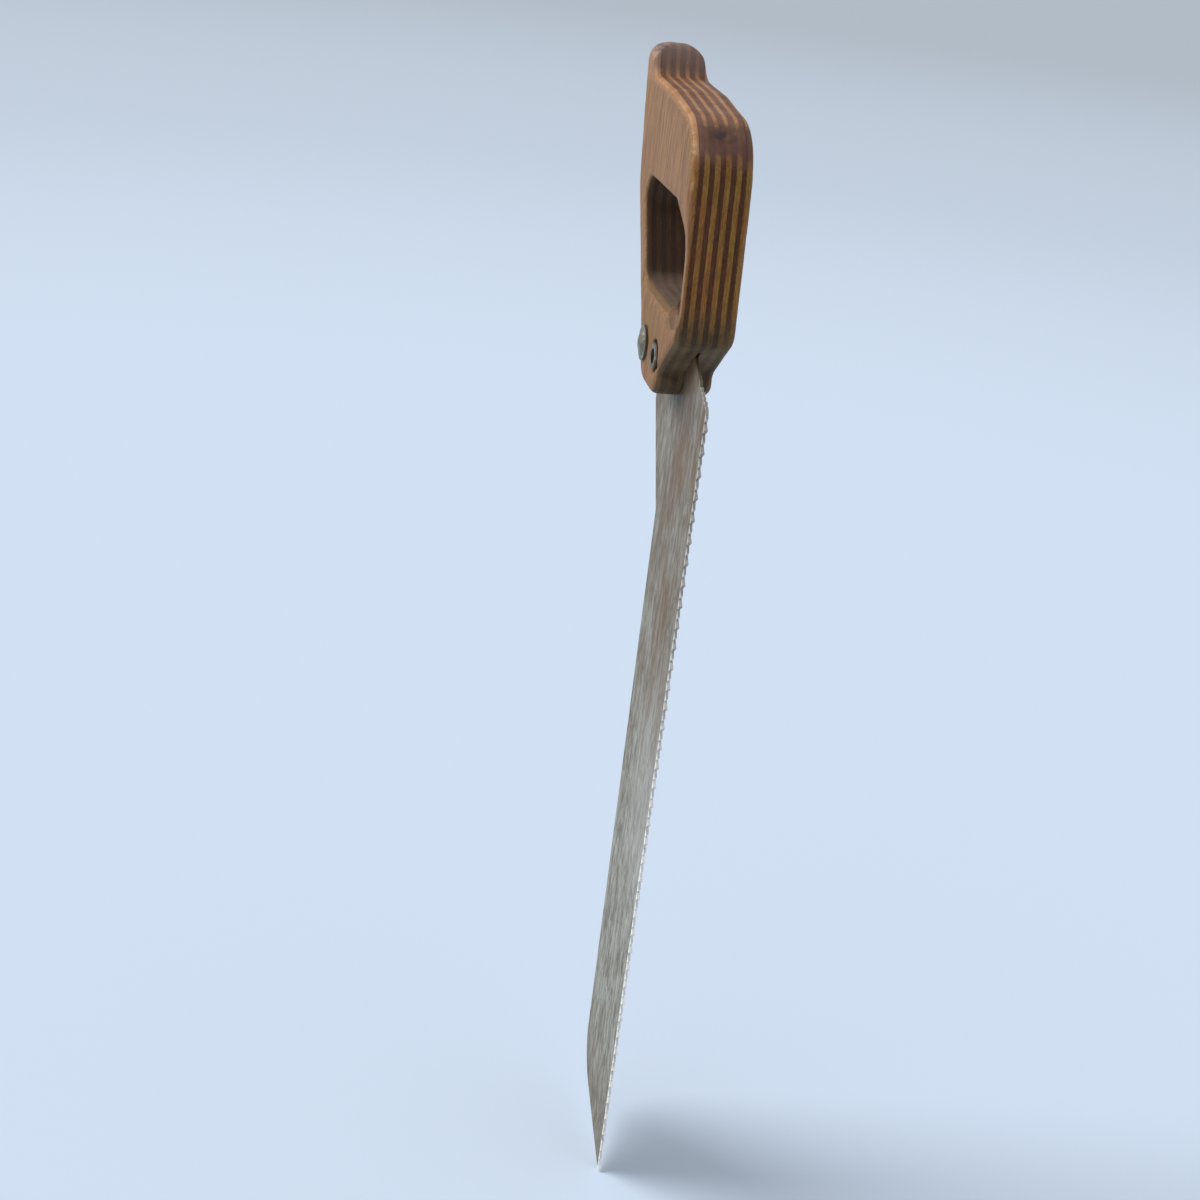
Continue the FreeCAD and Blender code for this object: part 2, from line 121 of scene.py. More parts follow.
def carve(made: bpy.types.Object, tool: bpy.types.Object, operation: str) -> None:
    """Cut one object with another and drop the tool.

    Args:
        made: The object that stays.
        tool: The closed shape that cuts it.
        operation: DIFFERENCE or INTERSECT.
    """
    cut = made.modifiers.new("cut", "BOOLEAN")
    cut.operation = operation
    cut.solver = "EXACT"
    cut.object = tool
    settle(made)
    bpy.data.objects.remove(tool)


def merged_copy(node: str, shift: Vector = Vector()) -> bmesh.types.BMesh:
    """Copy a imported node's mesh with its loose triangles joined.

    Args:
        node: Name of the node.
        shift: How far the copy is moved, in metres.

    Returns:
        The joined copy.
    """
    bm = bmesh.new()
    bm.from_mesh(frame["nodes"][node].data)
    bmesh.ops.remove_doubles(bm, verts=bm.verts, dist=1e-6)
    bmesh.ops.translate(bm, verts=bm.verts, vec=shift)
    return bm


def smooth_out(bm: bmesh.types.BMesh, times: int) -> None:
    """Even out a mesh.

    Args:
        bm: The mesh.
        times: How often each vertex is moved halfway to its neighbours.
    """
    for _ in range(times):
        bmesh.ops.smooth_vert(bm, verts=bm.verts, factor=0.5,
                              use_axis_x=True, use_axis_y=True, use_axis_z=True)


def smooth_by_angle(made: bpy.types.Object, degrees: float) -> None:
    """Shade smooth, with edges sharper than an angle left sharp.

    Args:
        made: The object to shade.
        degrees: Edges that turn more than this stay sharp.
    """
    bm = bmesh.new()
    bm.from_mesh(made.data)
    limit = math.radians(degrees)
    for face in bm.faces:
        face.smooth = True
    for edge in bm.edges:
        edge.smooth = len(edge.link_faces) == 2 and edge.calc_face_angle(0.0) < limit
    bm.to_mesh(made.data)
    bm.free()


# ---------------------------------------------------------------- shader node helpers
class Graph:
    """A short way to add and join shader nodes in one tree."""

    def __init__(self, tree: bpy.types.NodeTree) -> None:
        """Keep the tree.

        Args:
            tree: The material's or group's node tree.
        """
        self.tree = tree

    def put(self, socket: bpy.types.NodeSocket, value: object) -> None:
        """Set a socket's value or join another socket to it.

        Args:
            socket: The input socket.
            value: A number, colour, vector or output socket.
        """
        if isinstance(value, bpy.types.NodeSocket):
            self.tree.links.new(value, socket)
        else:
            socket.default_value = value

    def node(self, kind: str, inputs: dict | None = None, **settings: object) -> bpy.types.Node:
        """Add a node, set its properties and fill its inputs.

        Args:
            kind: Blender's node type name.
            inputs: Input name or index to value or socket.
            settings: Node properties.

        Returns:
            The new node.
        """
        made = self.tree.nodes.new(kind)
        for key, value in settings.items():
            setattr(made, key, value)
        for key, value in (inputs or {}).items():
            self.put(made.inputs[key], value)
        return made

    def math(self, operation: str, first: object, second: object = 0.0,
             third: object = 0.0) -> Link:
        """Work out one Math node.

        Args:
            operation: The node's operation.
            first: First value.
            second: Second value.
            third: Third value.

        Returns:
            The result's socket.
        """
        return self.node("ShaderNodeMath", {0: first, 1: second, 2: third},
                         operation=operation).outputs[0]

    def step(self, value: object, low: float, high: float) -> Link:
        """Smooth mask from 0 at low to 1 at high, either way round.

        Args:
            value: The value to map.
            low: Value where the mask is 0.
            high: Value where the mask is 1.

        Returns:
            The mask's socket.
        """
        inputs = {"Value": value, "From Min": low, "From Max": high}
        return self.node("ShaderNodeMapRange", inputs, interpolation_type="SMOOTHSTEP").outputs[0]

    def spread(self, value: object, low: float, high: float) -> Link:
        """Map 0 to 1 onto another range.

        Args:
            value: A value from 0 to 1.
            low: Result at 0.
            high: Result at 1.

        Returns:
            The result's socket.
        """
        return self.node("ShaderNodeMapRange",
                         {"Value": value, "To Min": low, "To Max": high}).outputs[0]

    def mix(self, share: object, first: object, second: object, blend: str = "MIX") -> Link:
        """Mix two colours.

        Args:
            share: How much of the second colour.
            first: The first colour.
            second: The second colour.
            blend: Blending mode.

        Returns:
            The mixed colour's socket.
        """
        made = self.node("ShaderNodeMix", data_type="RGBA", blend_type=blend)
        self.put(made.inputs[0], share)
        self.put(made.inputs[6], first)
        self.put(made.inputs[7], second)
        return made.outputs[2]

    def both(self, first: object, *others: object) -> Link:
        """Multiply masks, so that only where all of them lie is kept.

        Args:
            first: The first mask.
            others: The other masks.

        Returns:
            The product's socket.
        """
        for other in others:
            first = self.math("MULTIPLY", first, other)
        return first

    def cover(self, colour: object, mask: object, share: float, layer: object) -> Link:
        """Lay one colour over another where a mask says.

        Args:
            colour: The colour below.
            mask: Where the layer lies, 0 to 1.
            share: How much of the layer shows at the mask's full strength.
            layer: The layer's colour.

        Returns:
            The covered colour's socket.
        """
        return self.mix(self.both(mask, share), colour, layer)

    def relief(self, shader: bpy.types.Node, height: Link, strength: float,
               depth: float) -> None:
        """Give a shader fine relief.

        Args:
            shader: The material's shader.
            height: The relief's height, 0 to 1.
            strength: The relief's strength.
            depth: The relief's depth, in metres.
        """
        bump = self.node("ShaderNodeBump", {"Strength": strength, "Distance": depth,
                                            "Height": height})
        self.put(shader.inputs["Normal"], bump.outputs[0])

    def noise(self, place: Link, stretch: Triple, detail: float = 4.0,
              roughness: float = 0.55, distortion: float = 0.0) -> Link:
        """Noise with its own size along each axis.

        Args:
            place: Coordinates, in metres.
            stretch: Cells for each metre along X, Y and Z.
            detail: Number of octaves.
            roughness: Strength of the finer octaves.
            distortion: Swirl.

        Returns:
            The noise value's socket.
        """
        scaled = self.node("ShaderNodeVectorMath", {0: place, 1: stretch},
                           operation="MULTIPLY").outputs[0]
        inputs = {"Vector": scaled, "Scale": 1.0, "Detail": detail,
                  "Roughness": roughness, "Distortion": distortion}
        return self.node("ShaderNodeTexNoise", inputs).outputs[0]

    def spot(self, place: Link, centre: Triple, reach: Triple) -> Link:
        """Soft round mask, 1 at a centre and 0 at its reach along each axis.

        Args:
            place: Coordinates, in metres.
            centre: Centre, in millimetres.
            reach: Reach along X, Y and Z, in millimetres.

        Returns:
            The mask's socket.
        """
        moved = self.node("ShaderNodeVectorMath", {0: place, 1: tuple(c * MM for c in centre)},
                          operation="SUBTRACT").outputs[0]
        scaled = self.node("ShaderNodeVectorMath",
                           {0: moved, 1: tuple(1 / (r * MM) for r in reach)},
                           operation="MULTIPLY").outputs[0]
        far = self.node("ShaderNodeVectorMath", {0: scaled}, operation="LENGTH").outputs[1]
        return self.step(far, 1.0, 0.0)


def make_material(name: str) -> tuple[bpy.types.Material, Graph, bpy.types.Node]:
    """Start a node material.

    Args:
        name: The material's name.

    Returns:
        The material, its graph and its shader.
    """
    made = bpy.data.materials.new(name)
    made.use_nodes = True
    return made, Graph(made.node_tree), made.node_tree.nodes["Principled BSDF"]


def make_group(name: str, inputs: dict[str, object],
               outputs: tuple[str, ...]) -> tuple[bpy.types.NodeTree, Graph, dict, dict]:
    """Start a shader node group with named sockets.

    Args:
        name: The group's name.
        inputs: Input name to default value; a number or "VECTOR".
        outputs: Names of the masks and values that the group puts out.

    Returns:
        The group, its graph, its input sockets by name and its output sockets by name.
    """
    tree = bpy.data.node_groups.new(name, "ShaderNodeTree")
    for key, value in inputs.items():
        kind = "NodeSocketVector" if value == "VECTOR" else "NodeSocketFloat"
        socket = tree.interface.new_socket(name=key, in_out="INPUT", socket_type=kind)
        if value != "VECTOR":
            socket.default_value = value
    for key in outputs:
        tree.interface.new_socket(name=key, in_out="OUTPUT", socket_type="NodeSocketFloat")
    entry = tree.nodes.new("NodeGroupInput")
    leave = tree.nodes.new("NodeGroupOutput")
    return tree, Graph(tree), entry.outputs, leave.inputs


def grain_group() -> bpy.types.NodeTree:
    """Long wood grain along Z, with streaks, fine fibres and pores.

    Returns:
        The node group.
    """
    tree, graph, given, out = make_group(
        "wood_grain", {"Place": "VECTOR", "Streak Width": 1.6, "Fibre Width": 0.35},
        ("Streaks", "Fibres", "Pores", "Height"))
    place = given["Place"]
    streak_rate = graph.math("DIVIDE", 1000.0, given["Streak Width"])
    fibre_rate = graph.math("DIVIDE", 1000.0, given["Fibre Width"])
    results = []
    for rate, along, detail in ((streak_rate, 0.045, 3.0), (fibre_rate, 0.03, 4.0),
                                (fibre_rate, 0.09, 2.0)):
        slow = graph.math("MULTIPLY", rate, along)
        stretch = graph.node("ShaderNodeCombineXYZ", {0: rate, 1: rate, 2: slow}).outputs[0]
        scaled = graph.node("ShaderNodeVectorMath", {0: place, 1: stretch},
                            operation="MULTIPLY").outputs[0]
        made = graph.node("ShaderNodeTexNoise", {"Vector": scaled, "Scale": 1.0,
                                                 "Detail": detail, "Roughness": 0.6,
                                                 "Distortion": 0.25})
        results.append(made.outputs[0])
    streaks = graph.step(results[0], 0.34, 0.66)
    fibres = graph.step(results[1], 0.3, 0.7)
    pores = graph.step(results[2], 0.62, 0.74)
    height = graph.math("SUBTRACT", fibres, pores)
    graph.put(out["Streaks"], streaks)
    graph.put(out["Fibres"], fibres)
    graph.put(out["Pores"], pores)
    graph.put(out["Height"], height)
    return tree


def handling_group() -> bpy.types.NodeTree:
    """Where hands and work have lightened, darkened or dirtied the handle, and where shade and
    highlights are painted on it.

    Returns:
        The node group.
    """
    tree, graph, given, out = make_group(
        "handling", {"Place": "VECTOR", "Facing": "VECTOR"},
        ("Lit Top And Worn Horn", "Lower Darkening", "Hole Shade", "Blotches", "Smudge", "Ridge", "Dust", "Chips And Edge Highlight",
         "Rubbed", "Glue Dirt"))
    place = given["Place"]
    spots = graph.node("ShaderNodeSeparateXYZ", {0: place}).outputs
    facing = graph.node("ShaderNodeSeparateXYZ", {0: given["Facing"]}).outputs
    blotch = graph.noise(place, (95, 95, 60), 3.0, 0.6, 0.4)
    ragged = graph.noise(place, (260, 260, 200), 4.0, 0.65, 0.0)
    high = graph.math("ADD", spots[2], graph.spread(ragged, -0.006, 0.006))
    graph.put(out["Blotches"], graph.step(blotch, 0.36, 0.66))

    # The top is painted lighter where it faces up (a painted highlight); the horn is weathered
    # pale all round.
    top = graph.both(graph.step(facing[2], 0.2, 0.6), graph.step(high, 0.012, 0.024))
    horn = graph.both(graph.step(spots[0], -0.044, -0.050), graph.step(spots[2], 0.032, 0.037))
    lit_and_weathered = graph.math("MAXIMUM", top, horn)
    graph.put(out["Lit Top And Worn Horn"], lit_and_weathered)

    # The handle gets darker from the hand hole's lower part down.
    graph.put(out["Lower Darkening"], graph.step(high, -0.029, -0.0495))

    # Painted shade darkens the hand hole's walls and the back's outer face below the palm, with
    # less of it on the sill that faces up. Dust lies on the hole's sill and on the horn's top.
    inside = graph.both(graph.step(spots[0], -0.047, -0.041),
                        graph.step(spots[0], 0.0415, 0.0385),
                        graph.step(spots[2], -0.043, -0.039),
                        graph.step(spots[2], 0.004, -0.001))
    wall = graph.both(inside, graph.step(graph.math("ABSOLUTE", facing[1]), 0.8, 0.3))
    sill = graph.both(wall, graph.step(facing[2], 0.72, 0.93))
    graph.put(out["Hole Shade"], graph.math("MULTIPLY_ADD", sill, -0.35, wall))
    horn_top = graph.both(horn, graph.spread(graph.step(high, 0.034, 0.0455), 0.32, 1.0))
    graph.put(out["Dust"], graph.math("MAXIMUM", graph.both(horn_top, 0.85),
                                      graph.both(sill, 0.62)))

    # Dark knocks on the shoulder and the horn's left corner; pale chips on the left front edge,
    # partly real chips and partly a painted highlight on that edge.
    ridge = graph.step(graph.spot(place, (34.0, 0.2, 25.6), (6.5, 10.0, 5.4)), 0.1, 1.25)
    corner = graph.spot(place, (-56.0, -8.5, 47.0), (9.0, 5.5, 4.0))
    knocks = graph.math("MAXIMUM", ridge, corner)
    graph.put(out["Smudge"], graph.both(knocks, graph.step(ragged, 0.36, 0.6)))
    upper = graph.spot(place, (38.6, -10.8, 20.5), (4.0, 1.9, 5.5))
    lower = graph.spot(place, (43.4, -10.9, 10.0), (3.0, 1.5, 5.0))
    bare_and_lit = graph.math("MAXIMUM", upper, graph.both(lower, 0.8))
    graph.put(out["Chips And Edge Highlight"], graph.both(bare_and_lit, graph.step(ragged, 0.42, 0.6)))

    # A darker band runs across the shoulder's crest, short of the left face.
    graph.put(out["Ridge"], graph.both(
        graph.both(graph.step(high, 0.0155, 0.0215), graph.step(high, 0.0315, 0.0275)),
        graph.both(graph.step(spots[0], 0.024, 0.031), graph.step(spots[1], -0.0105, -0.006))))

    # The left face is rubbed bare along the front bar.
    graph.put(out["Rubbed"], graph.both(
        graph.step(spots[0], 0.030, 0.034), graph.step(spots[1], -0.0084, -0.0094),
        graph.step(spots[2], 0.008, 0.0), graph.step(facing[1], -0.15, -0.45)))

    # Dirt creeps over the light plies' edges and leaves their pale lines thin and frayed. It
    # repeats about every two plies, centred on the dark ones.
    period = 0.004
    beat = graph.math("MODULO", graph.math("ADD", spots[1], 0.012), period)
    beat = graph.math("ABSOLUTE", graph.math("SUBTRACT", beat, period / 2))
    frayed = graph.math("MULTIPLY_ADD", ragged, 0.0007, beat)
    graph.put(out["Glue Dirt"], graph.both(graph.step(frayed, 0.00085, 0.00125), lit_and_weathered,
                                           graph.step(spots[1], -0.0092, -0.0088)))
    return tree


def steel_group() -> bpy.types.NodeTree:
    """Drawn streaks, blotchy stain and fine pits on steel.

    Returns:
        The node group.
    """
    tree, graph, given, out = make_group(
        "steel_surface", {"Place": "VECTOR"},
        ("Streaks", "Flecks", "Cloud", "Pits", "Height"))
    place = given["Place"]
    broad = graph.noise(place, (270, 270, 62), 5.0, 0.7, 0.7)
    thin = graph.noise(place, (1300, 1300, 200), 3.0, 0.65, 0.0)
    flecks = graph.noise(place, (560, 560, 120), 3.0, 0.65, 0.4)
    cloud = graph.noise(place, (44, 44, 20), 4.0, 0.6, 0.5)
    pits = graph.noise(place, (1100, 1100, 700), 3.0, 0.7, 0.0)
    both = graph.math("MULTIPLY_ADD", thin, 0.35, graph.math("MULTIPLY", broad, 0.65))
    graph.put(out["Streaks"], graph.step(both, 0.38, 0.62))
    graph.put(out["Flecks"], graph.step(flecks, 0.56, 0.68))
    graph.put(out["Cloud"], graph.step(cloud, 0.38, 0.62))
    graph.put(out["Pits"], graph.step(pits, 0.6, 0.72))
    graph.put(out["Height"], graph.math("SUBTRACT", both, graph.math("MULTIPLY", pits, 0.5)))
    return tree


@dataclass(frozen=True)
class Groups:
    """The shared node groups."""

    grain: bpy.types.NodeTree = field(default_factory=grain_group)
    handling: bpy.types.NodeTree = field(default_factory=handling_group)
    steel: bpy.types.NodeTree = field(default_factory=steel_group)


# ---------------------------------------------------------------- finishes
class Veneer(Enum):
    """The three kinds of veneer in the handle."""

    FACE = "face_veneer"
    LIGHT = "light_ply"
    DARK = "dark_ply"


RUBBED_WOOD = tone(142, 102, 70)
# Pale bare wood for the chips, which also carry a painted highlight along the left front edge.
BARE_WOOD_AND_HIGHLIGHT = tone(212, 176, 128)
GLUE_DIRT = tone(128, 94, 80)
PORES = tone(38, 27, 22)
# Painted shade for the hand hole's walls.
HOLE_SHADE = tone(58, 43, 36)
RIDGE_DIRT = tone(104, 74, 64)
DUST = tone(140, 119, 112)
SMUDGE = tone(50, 46, 48)


@dataclass(frozen=True)
class WoodFinish:
    """Colours and surface of one kind of veneer.

    Streak and fibre widths are in millimetres, the grain's depth in metres.
    """

    name: str
    base: Colour
    streak: Colour
    blotch: Colour
    lit_and_weathered: Colour
    dark_tone: Colour
    dark_tone_pale: Colour
    streak_width: float
    fibre_width: float
    streak_share: float
    pore_share: float
    bump: float
    glue_dirt: float
    hole_shade: float
    ridge_dirt: float
    lower_dark_share: float
    dust_share: float
    fibre_tint: tuple[float, float] = (0.70, 1.22)
    sheen: tuple[float, float] = (0.56, 0.42)
    lower_roughness: float = 0.16
    specular: float = 0.2
    grain_depth: float = 0.0002

    def material(self, groups: Groups) -> bpy.types.Material:
        """Build the veneer's material.

        Args:
            groups: The shared node groups.

        Returns:
            The material.
        """
        made, graph, shader = make_material(self.name)
        coordinates = graph.node("ShaderNodeTexCoord").outputs
        place, facing = coordinates["Object"], coordinates["Normal"]
        grain = graph.node("ShaderNodeGroup", {
            "Place": place, "Streak Width": self.streak_width,
            "Fibre Width": self.fibre_width}, node_tree=groups.grain).outputs
        wear = graph.node("ShaderNodeGroup", {"Place": place, "Facing": facing},
                          node_tree=groups.handling).outputs

        fibres = graph.spread(grain["Fibres"], *self.fibre_tint)
        tint = graph.node("ShaderNodeCombineColor", {0: fibres, 1: fibres, 2: fibres}).outputs[0]
        # This colour is a painted highlight where the top faces up, and real weathering on the
        # horn.
        lit_and_faded = graph.cover(self.lit_and_weathered, wear["Blotches"], 0.6, self.blotch)
        lower_tone = graph.mix(wear["Blotches"], self.dark_tone, self.dark_tone_pale)
        worn, rubbed, lower_tinted = (graph.mix(1.0, colour, tint, "MULTIPLY")
                                for colour in (lit_and_faded, RUBBED_WOOD, lower_tone))

        colour = graph.mix(wear["Blotches"], self.base, self.blotch)
        colour = graph.cover(colour, grain["Streaks"], self.streak_share, self.streak)
        colour = graph.mix(1.0, colour, tint, "MULTIPLY")
        # Of these layers, the lit top is a painted highlight, the hole shade is painted shade and
        # the chips are partly a painted highlight.
        for mask, share, layer in (
                (wear["Lit Top And Worn Horn"], 0.9, worn), (wear["Glue Dirt"], self.glue_dirt, GLUE_DIRT),
                (wear["Rubbed"], 0.85, rubbed), (grain["Pores"], self.pore_share, PORES),
                (wear["Hole Shade"], self.hole_shade, HOLE_SHADE),
                (wear["Ridge"], self.ridge_dirt, RIDGE_DIRT),
                (wear["Dust"], self.dust_share, DUST),
                (wear["Lower Darkening"], self.lower_dark_share, lower_tinted), (wear["Smudge"], 0.85, SMUDGE),
                (wear["Chips And Edge Highlight"], 0.9, BARE_WOOD_AND_HIGHLIGHT)):
            colour = graph.cover(colour, mask, share, layer)
        graph.put(shader.inputs["Base Color"], colour)

        rough = graph.spread(grain["Fibres"], *self.sheen)
        rough = graph.math("MULTIPLY_ADD", wear["Lower Darkening"], self.lower_roughness, rough)
        graph.put(shader.inputs["Roughness"], rough)
        shader.inputs["Specular IOR Level"].default_value = self.specular
        graph.relief(shader, grain["Height"], self.bump, self.grain_depth)
        return made


@dataclass(frozen=True)
class BladeFinish:
    """Stained spring steel: brown near the handle, cleaner towards the toe.

    Ranges along the blade and across it are in metres, each from no effect to full effect, and
    so is the relief's depth. The tucked-in spot's centre and reach are in millimetres.
    """

    name: str = "blade_steel"
    clean: Colour = tone(154, 151, 137)
    dull: Colour = tone(80, 74, 61)
    dark: Colour = tone(54, 46, 34)
    bright: Colour = tone(192, 194, 190)
    tarnish: Colour = tone(92, 74, 48)
    rust: Colour = tone(104, 72, 34)
    tucked_shade: Colour = tone(70, 50, 28)
    pits: Colour = tone(66, 58, 48)
    near_handle: tuple[float, float] = (-0.28, -0.09)
    near_toe: tuple[float, float] = (-0.35, -0.42)
    gleam_from: tuple[float, float] = (-0.305, -0.25)
    gleam_to: tuple[float, float] = (-0.165, -0.205)
    gleam_side: tuple[float, float] = (0.02, 0.055)
    rust_side: tuple[float, float] = (0.0, 0.045)
    tucked: tuple[Triple, Triple] = ((30.0, 0.0, -72.0), (38.0, 8.0, 20.0))
    metallic: float = 0.18
    sheen: tuple[float, float] = (0.42, 0.62)
    relief_depth: float = 0.00008
    filed: bool = False

    def material(self, groups: Groups) -> bpy.types.Material:
        """Build the blade's material.

        Args:
            groups: The shared node groups.

        Returns:
            The material.
        """
        made, graph, shader = make_material(self.name)
        place = graph.node("ShaderNodeTexCoord").outputs["Object"]
        axes = graph.node("ShaderNodeSeparateXYZ", {0: place}).outputs
        steel = graph.node("ShaderNodeGroup", {"Place": place}, node_tree=groups.steel).outputs

        colour = graph.cover(self.clean, steel["Streaks"], 0.85, self.dull)
        colour = graph.cover(colour, steel["Flecks"], 0.6, self.dark)
        near_handle = graph.step(axes[2], *self.near_handle)
        if self.filed:
            colour = graph.cover(colour, near_handle, 0.6, self.tarnish)
        else:
            # Painted reflection: a pale band down the blade towards the tooth side stands in for
            # a gleam of light.
            gleam = graph.both(graph.step(axes[2], *self.gleam_from),
                               graph.step(axes[2], *self.gleam_to),
                               graph.step(axes[0], *self.gleam_side))
            colour = graph.cover(colour, gleam, 0.26, self.bright)
            ends = graph.math("MAXIMUM", near_handle, graph.step(axes[2], *self.near_toe))
            warm = graph.math("MULTIPLY_ADD", steel["Cloud"], 0.45, 0.4)
            colour = graph.mix(graph.both(ends, warm), colour, self.tarnish)
            stain = graph.both(steel["Cloud"], graph.spread(steel["Streaks"], 0.55, 1.0),
                               near_handle, graph.step(axes[0], *self.rust_side))
            colour = graph.cover(colour, stain, 0.85, self.rust)
            # Painted shade on the blade just under the handle's nose.
            tucked = graph.spot(place, *self.tucked)
            colour = graph.cover(colour, tucked, 0.8, self.tucked_shade)
            colour = graph.cover(colour, steel["Pits"], 0.4, self.pits)
        graph.put(shader.inputs["Base Color"], colour)
        shader.inputs["Metallic"].default_value = self.metallic
        graph.put(shader.inputs["Roughness"], graph.spread(steel["Streaks"], *self.sheen))
        graph.relief(shader, steel["Height"], 0.25, self.relief_depth)
        return made


@dataclass(frozen=True)
class FastenerFinish:
    """Dull grey-green steel, with grime where it sits in the handle. Measures are in metres."""

    name: str = "fastener_steel"
    clean: Colour = tone(126, 124, 110)
    dull: Colour = tone(92, 88, 74)
    dark_tone: Colour = tone(84, 66, 50)
    seat: tuple[float, float] = (0.0132, 0.0122)
    metallic: float = 0.6
    sheen: tuple[float, float] = (0.32, 0.55)
    relief_depth: float = 0.00005

    def material(self, groups: Groups) -> bpy.types.Material:
        """Build the fasteners' material.

        Args:
            groups: The shared node groups.

        Returns:
            The material.
        """
        made, graph, shader = make_material(self.name)
        place = graph.node("ShaderNodeTexCoord").outputs["Object"]
        axes = graph.node("ShaderNodeSeparateXYZ", {0: place}).outputs
        patina = graph.step(graph.noise(place, (520, 520, 520), 4.0, 0.65, 0.3), 0.38, 0.64)
        speckle = graph.step(graph.noise(place, (2200, 2200, 2200), 3.0, 0.7, 0.0), 0.58, 0.7)
        colour = graph.mix(patina, self.clean, self.dull)
        colour = graph.cover(colour, speckle, 0.25, self.dark_tone)
        seat = graph.step(graph.math("ABSOLUTE", axes[1]), *self.seat)
        colour = graph.cover(colour, seat, 0.7, self.dark_tone)
        graph.put(shader.inputs["Base Color"], colour)
        shader.inputs["Metallic"].default_value = self.metallic
        graph.put(shader.inputs["Roughness"], graph.spread(patina, *self.sheen))
        graph.relief(shader, speckle, 0.15, self.relief_depth)
        return made


WOODS = {
    Veneer.FACE: WoodFinish(
        "face_veneer", base=tone(155, 115, 71), streak=tone(110, 78, 50),
        blotch=tone(150, 110, 76), lit_and_weathered=tone(158, 116, 82), dark_tone=tone(84, 68, 52),
        dark_tone_pale=tone(112, 92, 68),
        streak_width=1.2, fibre_width=0.3, streak_share=0.8, pore_share=0.6, bump=0.4,
        glue_dirt=0.0, hole_shade=0.5, ridge_dirt=0.2, lower_dark_share=0.2, dust_share=0.3),
    Veneer.LIGHT: WoodFinish(
        "light_ply", base=tone(150, 112, 50), streak=tone(112, 74, 32),
        blotch=tone(152, 94, 46), lit_and_weathered=tone(196, 148, 106), dark_tone=tone(74, 58, 40),
        dark_tone_pale=tone(106, 88, 62),
        streak_width=1.1, fibre_width=0.3, streak_share=0.55, pore_share=0.4, bump=0.3,
        glue_dirt=0.8, hole_shade=0.8, ridge_dirt=0.85, lower_dark_share=0.9, dust_share=0.9),
    Veneer.DARK: WoodFinish(
        "dark_ply", base=tone(90, 54, 28), streak=tone(62, 36, 20),
        blotch=tone(98, 56, 34), lit_and_weathered=tone(148, 108, 90), dark_tone=tone(66, 52, 36),
        dark_tone_pale=tone(98, 82, 58),
        streak_width=0.8, fibre_width=0.22, streak_share=0.6, pore_share=0.6, bump=0.5,
        glue_dirt=0.0, hole_shade=0.8, ridge_dirt=0.6, lower_dark_share=0.94, dust_share=0.9),
}


